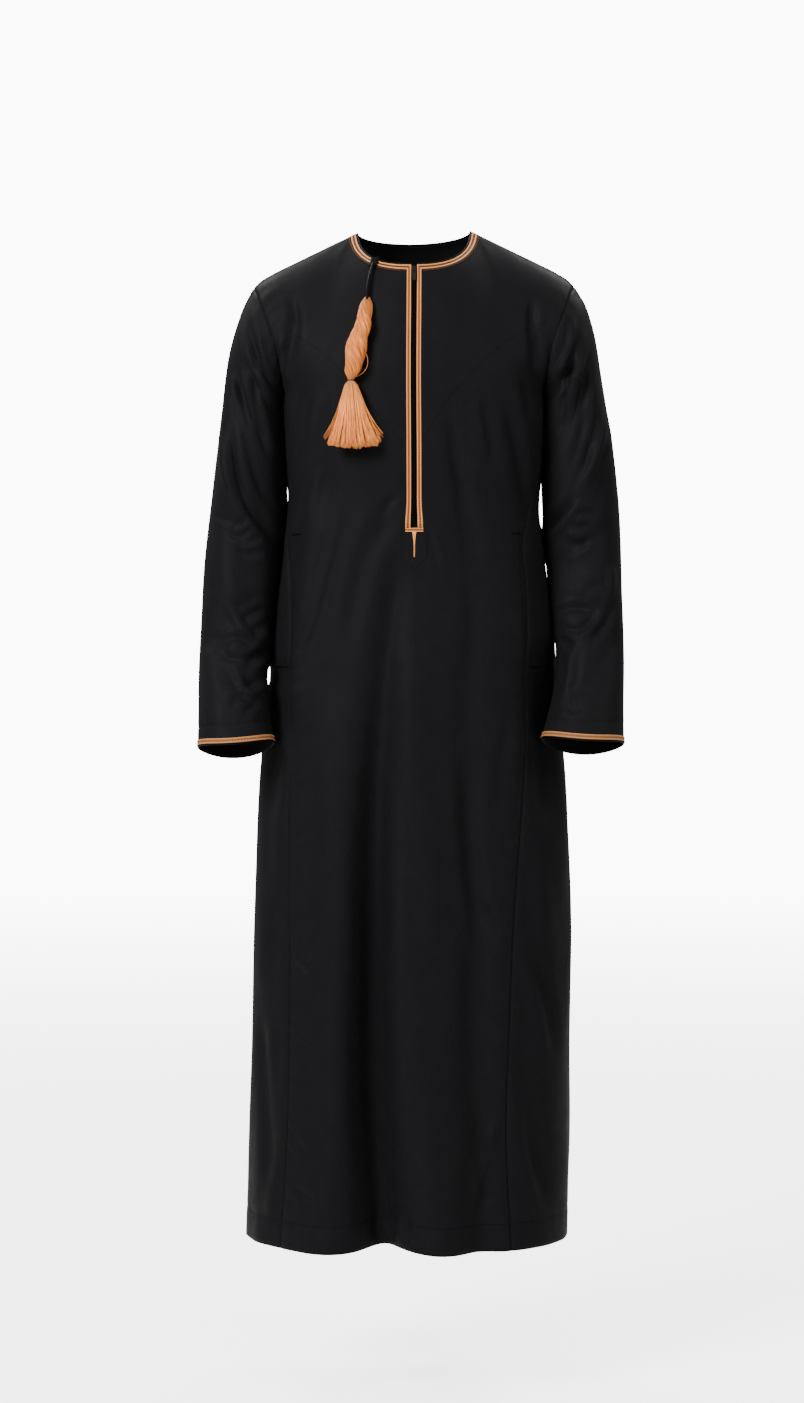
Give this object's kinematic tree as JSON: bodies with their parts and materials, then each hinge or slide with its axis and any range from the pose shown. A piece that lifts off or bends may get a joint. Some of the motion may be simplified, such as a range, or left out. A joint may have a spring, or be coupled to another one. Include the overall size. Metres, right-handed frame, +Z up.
{
  "type": "thobe",
  "caption": "Long black robe in its worn form, with a round neck, gold braid, a zip placket on the chest, long open sleeves and a silk tassel hung from the neck.",
  "frame": {"origin": "where the wearer's shoulders hold the robe: on the middle line, level with the sides of the neck", "axes": "+Z up, -Y out of the front, -X towards the wearer's right hand"},
  "size_m": [0.5836, 0.357, 1.3858],
  "materials": {
    "black_cloth": "smooth black satin-faced suiting with a soft sheen",
    "black_binding": "black corded binding",
    "gold_braid": "flat woven silk braid",
    "tassel_silk": "lustrous copper-gold silk thread",
    "zip_black": "black zip tape and coil",
    "zip_black_metal": "black lacquered zip slider"
  },
  "bodies": {
    "garment": {"front_panel": "black_cloth", "back_panel": "black_cloth", "side_panel_right": "black_cloth", "side_panel_left": "black_cloth", "sleeve_right": "black_cloth", "sleeve_left": "black_cloth", "neck_binding": "black_binding", "neck_braid": "gold_braid", "placket_braid_right": "gold_braid", "placket_braid_left": "gold_braid", "placket_bar": "gold_braid", "placket_spike": "gold_braid", "zip_tape": "zip_black", "zip_chain": "zip_black", "zip_slider": "zip_black_metal", "cuff_braid_right": "gold_braid", "cuff_braid_left": "gold_braid", "tassel_tab": "black_binding", "tassel_strap": "black_binding", "tassel_head": "tassel_silk", "tassel_tie": "black_binding", "tassel_skirt": "tassel_silk"},
    "pull": {"zip_pull": "zip_black_metal"}
  },
  "joints": [
    {"name": "pull_swing", "type": "hinge", "parent": "garment", "child": "pull", "pos_m": [-0.00001, -0.08932, -0.06626], "axis": [-1, 0, 0], "range_deg": [0, 165]}
  ]
}
